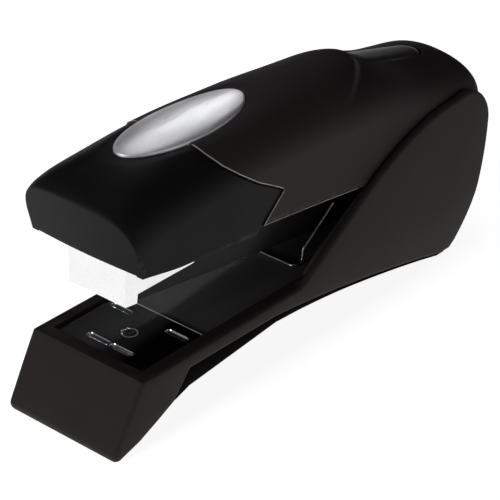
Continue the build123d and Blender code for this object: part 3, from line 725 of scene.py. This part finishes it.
def end_patch(edge, foot_step, face):
    """The wall under an end's crease: one column under each arch point, reaching the lower edge."""
    points = []
    for k in range(SIDE_COLUMNS, SIDE_COLUMNS + 2 * ARCH_COLUMNS + 1):
        x, y, z = (a[k] for a in edge)
        foot = lower_edge(x, foot_step)
        for share in DOWN_SHARES:
            height = z + (foot - z) * share
            points.append((x if face is None else face(y, height), y, height))
    return points


BROW = 2.4                 # width of the band between the front face and the crown
BROW_ROWS = 7


def build_nose_cover():
    fade = np.clip(1 - (np.abs(COLUMNS_V) / ARCH_SHARE) ** 5, 0, 1)
    brow_x = crease_x - BROW * fade
    points, rows = [], 0
    for share in np.linspace(0, 1, 48):
        x = seam_x + 0.12 + (brow_x - seam_x - 0.12) * share
        near_seam = np.clip(1 - (x - seam_x) / 0.9, 0, 1) ** 2
        points.extend(zip(*skin(x, COLUMNS_V, -0.25 - 0.35 * near_seam)))
        rows += 1
    upper = np.array(points[-len(COLUMNS_V):])
    crease = np.array(skin(crease_x, COLUMNS_V, -0.25)).T
    lower = crease.copy()
    lower[:, 2] -= 0.35 * BROW * fade
    lower[:, 0] = np.where(fade > 0, face_at(lower[:, 1], lower[:, 2]), crease[:, 0])
    for k in range(1, BROW_ROWS + 1):
        t = k / BROW_ROWS
        band = upper * (1 - t) + lower * t
        bulge = (crease - (upper + lower) / 2) * (4 * t * (1 - t) * 0.22)
        points.extend(tuple(p) for p in band + bulge)
        rows += 1
    faces = lattice_faces(rows, len(COLUMNS_V))
    start = len(points)
    points += end_patch(lower.T, 0.0, face_at)
    faces += lattice_faces(2 * ARCH_COLUMNS + 1, SIDE_COLUMNS + 1, start)
    return points, faces


def face_outward(piece):
    """Make an open skin's faces look outward."""
    work = bmesh.new()
    work.from_mesh(piece.data)
    bmesh.ops.recalc_face_normals(work, faces=work.faces)
    if sum(f.normal.z * f.calc_area() for f in work.faces) < 0:
        bmesh.ops.reverse_faces(work, faces=work.faces)
    work.to_mesh(piece.data)
    work.free()


def relax(piece, chosen, rounds):
    """Smooth the chosen points a few times, which rounds the crease that they lie on."""
    work = bmesh.new()
    work.from_mesh(piece.data)
    verts = [v for v in work.verts if not v.is_boundary and chosen(v.co / MM)]
    for _ in range(rounds):
        bmesh.ops.smooth_vert(work, verts=verts, factor=0.5,
                              use_axis_x=True, use_axis_y=True, use_axis_z=True)
    work.to_mesh(piece.data)
    work.free()
    return len(verts)


points, faces = build_nose_cover()
nose_cover = piece_from("nose_cover_skin", points, faces, COVER, "handle")
join_close(nose_cover)
face_outward(nose_cover)
print("brow points eased:", relax(nose_cover, lambda p: p.x > NOSE - 1.5 and p.z > NOSE_FOOT + 1.5, 3))
thicken(nose_cover, WALL)
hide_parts("nose_cover")
print("nose cover faces:", len(nose_cover.data.polygons))

# %% [markdown]
# ## Rear cover
# Behind the seam the same skin runs on over the hump and down to the tail.  The lattice has extra
# rows where the hump breaks off, so that the crease there is real shape and not paint.  The tail is
# closed by a patch under a wide rounded edge, like the nose but softer.

# %% Rear cover
def past_tail(x, v):
    _, y, _ = skin(x, v, 0.0, REAR_EDGE_STEP)
    return x - (REAR + 0.2 + 2.2 * (y / HALF) ** 2)


def past_rear_seam(x, v):
    return x - seam_at(skin(x, v, 0.0, REAR_EDGE_STEP)[2])


def build_rear_cover():
    v = COLUMNS_V
    tail_x = meet(past_tail, REAR - 1, REAR + 12, v)
    front_x = meet(past_rear_seam, NOSE - 60, NOSE - 15, v) - 0.12
    break_x = hump_crease(skin(np.full_like(v, HUMP_X), v)[1])
    stretches = [
        (tail_x, tail_x + 5.0, 10),
        (tail_x + 5.0, break_x - CREASE_SOFT, 26),
        (break_x - CREASE_SOFT, break_x + CREASE_SOFT, 10),
        (break_x + CREASE_SOFT, front_x - 1.0, 44),
        (front_x - 1.0, front_x, 4),
    ]
    points, rows = [], 0
    for start_x, end_x, count in stretches:
        for k in range(count):
            x = start_x + (end_x - start_x) * k / count
            points.extend(zip(*skin(x, v, 0.0, REAR_EDGE_STEP)))
            rows += 1
    points.extend(zip(*skin(front_x, v, 0.0, REAR_EDGE_STEP)))
    rows += 1
    columns = len(v)
    faces = lattice_faces(rows, columns)
    tail = np.array(points[:columns]).T
    start = len(points)
    points += end_patch(tail, REAR_EDGE_STEP, None)
    faces += lattice_faces(2 * ARCH_COLUMNS + 1, SIDE_COLUMNS + 1, start)
    return points, faces, rows


BEAD_SIDES = 6


def bead(name, line, radius, material, body):
    """A thin round bead along a line of points."""
    sides = BEAD_SIDES
    line = np.array(line)
    along = np.gradient(line, axis=0)
    along /= np.linalg.norm(along, axis=1)[:, None]
    aside = np.cross(along, (0.1, 0.2, 1.0))
    aside /= np.linalg.norm(aside, axis=1)[:, None]
    up = np.cross(aside, along)
    points = []
    for k in range(len(line)):
        for turn in np.linspace(0, 2 * math.pi, sides, endpoint=False):
            points.append(tuple(line[k] + radius * (math.cos(turn) * aside[k] + math.sin(turn) * up[k])))
    faces = []
    for k in range(len(line) - 1):
        for j in range(sides):
            a, b = k * sides + j, k * sides + (j + 1) % sides
            faces.append((a, b, b + sides, a + sides))
    faces += [tuple(range(sides))[::-1], tuple((len(line) - 1) * sides + j for j in range(sides))]
    piece = piece_from(name, points, faces, material, body)
    return shade(piece, 60)


# The seam's and the hem's beads are painted highlights: thin pale lines along the rear cover's front and
# lower edges, where light catches them.
HEM_START_ROW = 34         # the hem's bead starts just behind the hump's crease
RING_CLEAR = 1.06          # the seam's bead stops at the badge's seat

points, faces, rows = build_rear_cover()
grid = np.array(points[: rows * len(COLUMNS_V)]).reshape(rows, len(COLUMNS_V), 3)
seam_row = grid[-1]
ring = np.sqrt(((seam_row[:, 0] - BADGE_X) / BADGE_HALF) ** 2 + (seam_row[:, 1] / BADGE_SIDE) ** 2)
for side, name in ((1, "left"), (-1, "right")):
    chosen = seam_row[(ring > RING_CLEAR) & (seam_row[:, 1] * side > 0)]
    bead("seam_highlight_" + name, chosen + (0.02, 0, 0.0), 0.13, PALE_HIGHLIGHT, "handle")
    hem = grid[HEM_START_ROW:, -1 if side > 0 else 0]
    bead("hem_highlight_" + name, hem + (0, side * 0.02, 0.14), 0.10, PALE_HIGHLIGHT, "handle")
rear_cover = piece_from("rear_cover_skin", points, faces, SHELL, "handle")
join_close(rear_cover)
face_outward(rear_cover)
print("tail points eased:", relax(rear_cover, lambda p: p.x < REAR + 3.5 and p.z > PIN_Z, 30))
thicken(rear_cover, WALL)
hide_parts("handle_cover")
print("rear cover faces:", len(rear_cover.data.polygons))


# %% [markdown]
# ## Badge and button
# Both are pads that lie on the skin: rings of points step inwards from an outline while they rise
# from a buried foot, over a rounded rim, to a gently crowned top.  The same pad, a little larger
# and plain, is the cutter for the seat in the covers, so the dark gap round each piece is even.

# %% Pads on the skin
def oval(half_length, half_width, inset, count):
    turn = np.linspace(0, 2 * math.pi, count, endpoint=False)
    return (half_length - inset) * np.cos(turn), (half_width - inset) * np.sin(turn)


def lozenge(half_length, half_width, inset, count):
    turn = np.linspace(0, 2 * math.pi, count, endpoint=False) + math.pi / count
    straight = half_length - half_width
    across = half_width - inset
    return np.sign(np.cos(turn)) * straight + across * np.cos(turn), across * np.sin(turn)


def pad(name, outline, centre, half_length, half_width, rings, count, material, body):
    """A closed pad: rings of (inset, height over the skin), foot first."""
    points, faces = [], []
    for inset, height in rings:
        px, py = outline(half_length, half_width, inset, count)
        px = px + centre
        pz = skin_height(px, py) + height
        points.extend(zip(px, py, pz))
    for r in range(len(rings) - 1):
        for k in range(count):
            a, b = r * count + k, r * count + (k + 1) % count
            faces.append((a, b, b + count, a + count))
    faces.append(tuple(range(count))[::-1])
    faces.append(tuple((len(rings) - 1) * count + k for k in range(count)))
    return piece_from(name, points, faces, material, body)


BADGE_SEAT = 0.9
dome = [(BADGE_SIDE * s, 0.50 + 0.42 * (1 - (1 - s) ** 2)) for s in np.linspace(0.10, 0.96, 14)]
badge = pad("badge_plate", oval, BADGE_X, BADGE_HALF, BADGE_SIDE,
            [(-0.2, -0.75), (-0.2, 0.10), (-0.12, 0.30), (0.05, 0.42), (0.30, 0.48)] + dome,
            128, BADGE_METAL, "handle")
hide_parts("badge")
shade(badge, 60)

BUTTON_X, BUTTON_HALF, BUTTON_SIDE = REAR + 22.5, 12.5, 4.0
top = [(0.0, -2.6), (0.0, -0.45), (0.12, -0.2), (0.38, 0.0), (0.8, 0.12), (1.5, 0.2), (2.6, 0.25),
       (3.6, 0.25)]
button = pad("release_key", lozenge, BUTTON_X, BUTTON_HALF, BUTTON_SIDE, top,
             96, KEY_BLACK, "release_button")
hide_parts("release_button")
shade(button, 60)


def seat_cutter(outline, centre, half_length, half_width, gap, depth):
    return pad("cutter", outline, centre, half_length + gap, half_width + gap,
               [(0, -depth), (0, 6.0)], 96, SHELL, None)


for cover in (nose_cover, rear_cover):
    cut(cover, seat_cutter(oval, BADGE_X, BADGE_HALF, BADGE_SIDE, 0.42, BADGE_SEAT))
cut(rear_cover, seat_cutter(lozenge, BUTTON_X, BUTTON_HALF, BUTTON_SIDE, 0.4, 4.0))
# The rear cover's bevels take the pale second slot, a painted highlight along its edges.
rear_cover.data.materials.append(PALE_HIGHLIGHT)
soften(nose_cover, 0.18, 55)
soften(rear_cover, 0.20, 55, 2, 1)
shade(nose_cover)
shade(rear_cover)
print("badge and button seated; rear cover faces:", len(rear_cover.data.polygons))


# %% [markdown]
# ## Base
# The base is drawn as its side outline and pushed out to both sides.  The long outline edge is
# rounded all the way round first, while the flanks are flat.  Then the flanks draw in below the
# deck, and only after that are the rooms for the handle, the steel floor and the anvil cut out.

# %% Base outline
def arc_through(a, b, c, count):
    """Points on the circle through three points, from a to c."""
    (ax, az), (bx, bz), (cx, cz) = a, b, c
    d = 2 * (ax * (bz - cz) + bx * (cz - az) + cx * (az - bz))
    aa, bb, cc = ax * ax + az * az, bx * bx + bz * bz, cx * cx + cz * cz
    ox = (aa * (bz - cz) + bb * (cz - az) + cc * (az - bz)) / d
    oz = (aa * (cx - bx) + bb * (ax - cx) + cc * (bx - ax)) / d
    radius = math.hypot(ax - ox, az - oz)
    start, middle, end = (math.atan2(p[1] - oz, p[0] - ox) for p in (a, b, c))
    turn = (end - start) % (2 * math.pi)
    if (middle - start) % (2 * math.pi) > turn:
        turn -= 2 * math.pi
    angles = [start + turn * k / count for k in range(count + 1)]
    return [(ox + radius * math.cos(t), oz + radius * math.sin(t)) for t in angles]


def bow(a, b, lead_a, lead_b, count):
    """Cubic curve between two points with the given directions."""
    reach = math.dist(a, b)
    points = []
    for k in range(count + 1):
        t = k / count
        h = (2 * t**3 - 3 * t**2 + 1, t**3 - 2 * t**2 + t, 3 * t**2 - 2 * t**3, t**3 - t**2)
        points.append(tuple(h[0] * a[i] + h[1] * lead_a[i] * reach + h[2] * b[i] + h[3] * lead_b[i] * reach
                            for i in (0, 1)))
    return points


RIM = DECK + 0.8
CHEEK_TOP = DECK + 28.1
LIFT = base_low[2]
FOOT_REAR = [(ANVIL_X - 2.0, DECK - 3.4), (ANVIL_X + 3.2, DECK - 10.0), (FRONT - 13.4, 4.6),
             (FRONT - 7.5, 1.9)]
TOE_ROUND = 2.0
FOOT_AHEAD = 1.2           # the toe stands a little ahead of the engineering model's
ARCH_STEPS = 20            # stretches in the arch between heel and foot


def toe_curve():
    """Rounded toe between the sole and the raked front face."""
    centre = (FRONT + FOOT_AHEAD - TOE_ROUND, TOE_ROUND + 0.05)
    turns = np.radians(np.linspace(-110, 30, 9))
    return [(centre[0] + TOE_ROUND * math.cos(t), centre[1] + TOE_ROUND * math.sin(t)) for t in turns]


def base_outline():
    cheek_start = (PIN_X + 57.5, RIM)
    cheek_mid = (PIN_X + 28.7, PIN_Z + 5.9)
    cheek_top = (PIN_X - 2.0, CHEEK_TOP)
    rear_high = (REAR - 0.3, PIN_Z + 5.5)
    rear_low = (REAR + 9.2, LIFT + 2.2)
    arch_start, arch_end = (REAR + 14.5, LIFT), (PIN_X + 66.0, DECK - 3.6)
    line = toe_curve() + [(FRONT + FOOT_AHEAD - 9.2, RIM)]
    line += bow(cheek_start, cheek_mid, (-0.86, 0.51), (-0.87, 0.49), 14)
    line += bow(cheek_mid, cheek_top, (-0.87, 0.49), (-1.0, 0.0), 14)[1:]
    line += arc_through(cheek_top, (REAR + 3.0, CHEEK_TOP - 2.6), rear_high, 10)[1:]
    line += arc_through(rear_high, (REAR + 2.0, PIN_Z - 10.3), rear_low, 10)[1:]
    line += [(REAR + 11.2, LIFT)]
    line += arc_through(arch_start, (REAR + 52.0, DECK - 7.9), arch_end, ARCH_STEPS)
    line += FOOT_REAR
    return line


# %% Base body
TUCK_FRONT, TUCK_REAR = 0.6, 2.7      # how far the flanks draw in at the table
CHEEK_WALL = 1.7
BASE_ROUND = 1.2


def flank(x, z, inset=0.0):
    """Half width of the base: upright above the deck, drawn in below it, more so at the rear."""
    tuck = TUCK_FRONT + (TUCK_REAR - TUCK_FRONT) * (FRONT - x) / (FRONT - REAR)
    return HALF - inset - tuck * (max(0.0, DECK - z) / DECK) ** 1.5


def base_prism():
    line = base_outline()
    work = bmesh.new()
    left = [work.verts.new((x * MM, HALF * MM, z * MM)) for x, z in line]
    right = [work.verts.new((x * MM, -HALF * MM, z * MM)) for x, z in line]
    work.faces.new(left)
    work.faces.new(right[::-1])
    for k in range(len(line)):
        n = (k + 1) % len(line)
        work.faces.new((left[k], right[k], right[n], left[n]))
    bmesh.ops.recalc_face_normals(work, faces=work.faces)
    work.normal_update()
    rim_edges = [e for e in work.edges if sum(abs(f.normal.y) > 0.8 for f in e.link_faces) == 1]
    bmesh.ops.bevel(work, geom=rim_edges, offset=BASE_ROUND * MM, segments=4, profile=0.5,
                    affect="EDGES", clamp_overlap=False)
    levels = [((0, 0, z), (0, 0, 1)) for z in np.linspace(2.5, DECK, 6)]
    levels += [((x, 0, 0), (1, 0, 0)) for x in np.linspace(REAR + 15, FRONT - 15, 10)]
    for place, normal in levels:
        whole = work.verts[:] + work.edges[:] + work.faces[:]
        bmesh.ops.bisect_plane(work, geom=whole, plane_co=Vector(place) * MM, plane_no=normal,
                               dist=1e-7)
    for vert in work.verts:
        x, y, z = vert.co / MM
        vert.co.y = math.copysign(abs(y) - HALF + flank(x, z), y) * MM
    mesh = bpy.data.meshes.new("base_shell_skin")
    work.to_mesh(mesh)
    work.free()
    mesh.materials.append(SHELL)
    return mesh


base = bpy.data.objects.new("base_shell_skin", base_prism())
bpy.context.scene.collection.objects.link(base)
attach(base, "base")
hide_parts("base_shell")
print("base outline points:", len(base_outline()))


# %% Rooms in the base
def foot_room():
    """The hollow under the deck, one wall inside the outline."""
    under = DECK - 3.3
    line = [(FRONT - 4.0, -1), (FRONT - 12.0, under), (REAR + 6.5, under), (REAR + 7.5, 8.0),
            (REAR + 11.0, -1)]
    points, faces = [], []
    for side in (1, -1):
        points += [(x, side * flank(x, z, 1.8), z) for x, z in line]
    count = len(line)
    faces.append(tuple(range(count)))
    faces.append(tuple(range(count, 2 * count))[::-1])
    for k in range(count):
        n = (k + 1) % count
        faces.append((k, k + count, n + count, n))
    return piece_from("cutter", points, faces, SHELL, None)


cheek_in = HALF - CHEEK_WALL
pocket = plate_high[1] + 0.15
floor_rear = PIN_X + 18
cuts = [
    ((plate_low[0] - 0.15, -pocket, DECK - 1.65), (plate_high[0] + 0.15, pocket, RIM + 1)),
    ((floor_rear, -pocket, DECK - 1.85), (plate_low[0], pocket, RIM + 1)),
    ((REAR - 2, -cheek_in, RIM), (PIN_X + 57.5, cheek_in, DECK + 60)),
    ((REAR - 2, -cheek_in, DECK - 2.5), (floor_rear, cheek_in, RIM + 1)),
    ((REAR + 7.0, -cheek_in, DECK - 4.3), (floor_rear, cheek_in, RIM)),
]
cut(base, foot_room())
for low_corner, high_corner in cuts:
    cut(base, box_cutter(low_corner, high_corner))
soften(base, 0.28, 40)
shade(base, 32)
print("base faces:", len(base.data.polygons))


# %% [markdown]
# ## Rubber edge and painted shadow
# The sole is a dark rubber piece that shows as a thin strip under the arch; its near black is also a
# painted contact shadow along the base's lower edge there.  It is drawn from the base's own outline,
# a little inside the shell, and grows deeper towards the foot, so that it follows the arch without
# being measured a second time.

# %% Rubber edge and painted shadow under the base
BAND = [(REAR + 20, 0.5), (-10, 0.8), (4.4, 1.2), (11.6, 1.6), (18.9, 1.9), (26.2, 2.3), (31.6, 2.8),
        (37.1, 3.4), (40.7, 3.8), (ANVIL_X - 2.0, 4.8)]


def build_rubber_and_shadow_strip():
    """The strip of rubber, near black as a painted contact shadow, that shows below the shell between the
    heel and the foot.
    """
    sill = base_outline()[-(ARCH_STEPS + 1 + len(FOOT_REAR)):]
    upper = [p for p in sill if REAR + 20 < p[0] <= ANVIL_X - 2.0]
    xs, depths = np.array(BAND).T
    lower = [(x, z - float(np.interp(x, xs, depths))) for x, z in upper]
    lower.append((ANVIL_X + 2.9, DECK - 9.9))
    upper.append((ANVIL_X + 2.7, DECK - 9.2))
    points, faces = [], []
    rows = [(x, z + 0.1, 0.3) for x, z in upper], [(x, z, 0.5) for x, z in lower]
    for side in (1, -1):
        for row in rows:
            points += [(x, side * (flank(x, z) - inset), z) for x, z, inset in row]
    n = len(upper)
    ring = [0, n, 3 * n, 2 * n]
    for a, b in zip(ring, ring[1:] + ring[:1]):
        faces += [(a + k, b + k, b + k + 1, a + k + 1) for k in range(n - 1)]
    faces += [tuple(ring), tuple(r + n - 1 for r in ring)]
    return points, faces


points, faces = build_rubber_and_shadow_strip()
rubber_and_shadow_strip = piece_from("rubber_and_shadow_strip", points, faces, RUBBER, "base")
face_outward(rubber_and_shadow_strip)
soften(rubber_and_shadow_strip, 0.2, 40)
shade(rubber_and_shadow_strip)
print("sole edge points:", len(rubber_and_shadow_strip.data.vertices))

# %% [markdown]
# ## Coil springs
# The frame keeps each coil spring as a plain sleeve, because a simulation only needs its room.  Here
# each becomes a real helix of round wire, wound between the ends of the sleeve.

# %% Coil springs
def coil(name, start, end, radius, wire, turns, node):
    """A helix of round wire with closed end turns, wound between two points."""
    start, end = Vector(start), Vector(end)
    axis = end - start
    side = axis.orthogonal().normalized()
    other = axis.normalized().cross(side)
    curve = bpy.data.curves.new(name, "CURVE")
    curve.dimensions = "3D"
    curve.bevel_depth = wire * MM / 2
    curve.bevel_resolution = 3
    curve.use_fill_caps = True
    spline = curve.splines.new("POLY")
    steps = int(turns * 16)
    spline.points.add(steps)
    for k in range(steps + 1):
        t = k / steps
        along = t - 0.35 * math.sin(2 * math.pi * t) / (2 * math.pi)
        turn = 2 * math.pi * turns * t
        p = start + axis * along + (side * math.cos(turn) + other * math.sin(turn)) * (radius - wire / 2)
        spline.points[k].co = (*(p * MM), 1)
    curve.materials.append(SPRING)
    spring = bpy.data.objects.new(name, curve)
    bpy.context.scene.collection.objects.link(spring)
    mesh = bpy.data.meshes.new_from_object(spring)
    bpy.data.objects.remove(spring)
    piece = bpy.data.objects.new(name, mesh)
    bpy.context.scene.collection.objects.link(piece)
    shade(piece, 60)
    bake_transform(piece)
    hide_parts(node)
    return piece


def tilted_ends(node, radius):
    """Ends of the centre line of a sleeve that leans in the side view."""
    low, high = box_mm(node)
    run, climb = high[0] - low[0], high[2] - low[2]
    lean = math.atan2(climb, run)
    for _ in range(20):
        lean = math.atan2(climb - 2 * radius * math.cos(lean), run - 2 * radius * math.sin(lean))
    dx, dz = radius * math.sin(lean), radius * math.cos(lean)
    return (low[0] + dx, 0, low[2] + dz), (high[0] - dx, 0, high[2] - dz)


push_start, push_end = tilted_ends("pusher_spring", 2.0)
coil("pusher_coil", push_start, push_end, 1.9, 0.4, 34, "pusher_spring")
anvil_low, anvil_high = box_mm("anvil_spring")
coil("anvil_coil", (ANVIL_X, 0, anvil_high[2] - 0.25), (ANVIL_X, 0, anvil_low[2] + 0.25), 3.5, 0.45, 4,
     "anvil_spring")
key_low, key_high = box_mm("button_spring")
key_x = (key_low[0] + key_high[0]) / 2
coil("button_coil", (key_x, 0, key_low[2] + 0.2), (key_x, 0, key_high[2] - 0.2), 2.1, 0.35, 7,
     "button_spring")
print("three coil springs wound")

# %% [markdown]
# ## The frame's own parts
# Everything that has no new skin keeps its engineering shape and only gets a finish: lacquer on the
# trough, nickel on the cap, plastic inside, and zinc on every part that the list doesn't name.  The
# rear edge of the anvil plate also gets a fine bright bead, a painted highlight along that edge.

# %% Finish the frame's own parts
FINISHES = {
    "rubber_sole": RUBBER, "chassis": FLOOR_BLACK, "magazine_channel": LACQUER, "front_cap": NICKEL,
    "anvil_plate": ANVIL_STEEL, "anvil_stem": STEM_STEEL, "anvil_button": INNER, "rail_block": INNER,
    "pusher": INNER, "lift_spring": SPRING, "return_spring": SPRING, "staple_strip": STAPLE,
}


def dress(node, material):
    """Put a finish on every material slot of a frame part; its shape stays as it is."""
    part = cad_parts[node]
    for slot in part.material_slots:
        slot.material = material
    if not part.material_slots:
        part.data.materials.append(material)


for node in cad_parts:
    dress(node, FINISHES.get(node, ZINC))
# A thin zinc bead along the anvil plate's rear edge, as a painted highlight.
highlight_line = [(plate_low[0] + 0.1, y, DECK + 0.02)
             for y in np.linspace(plate_low[1] + 0.3, plate_high[1] - 0.3, 12)]
bead("plate_edge_highlight", highlight_line, 0.09, ZINC, "anvil")
print("frame parts dressed:", len(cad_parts))


# %% Finish
bpy.context.view_layer.update()
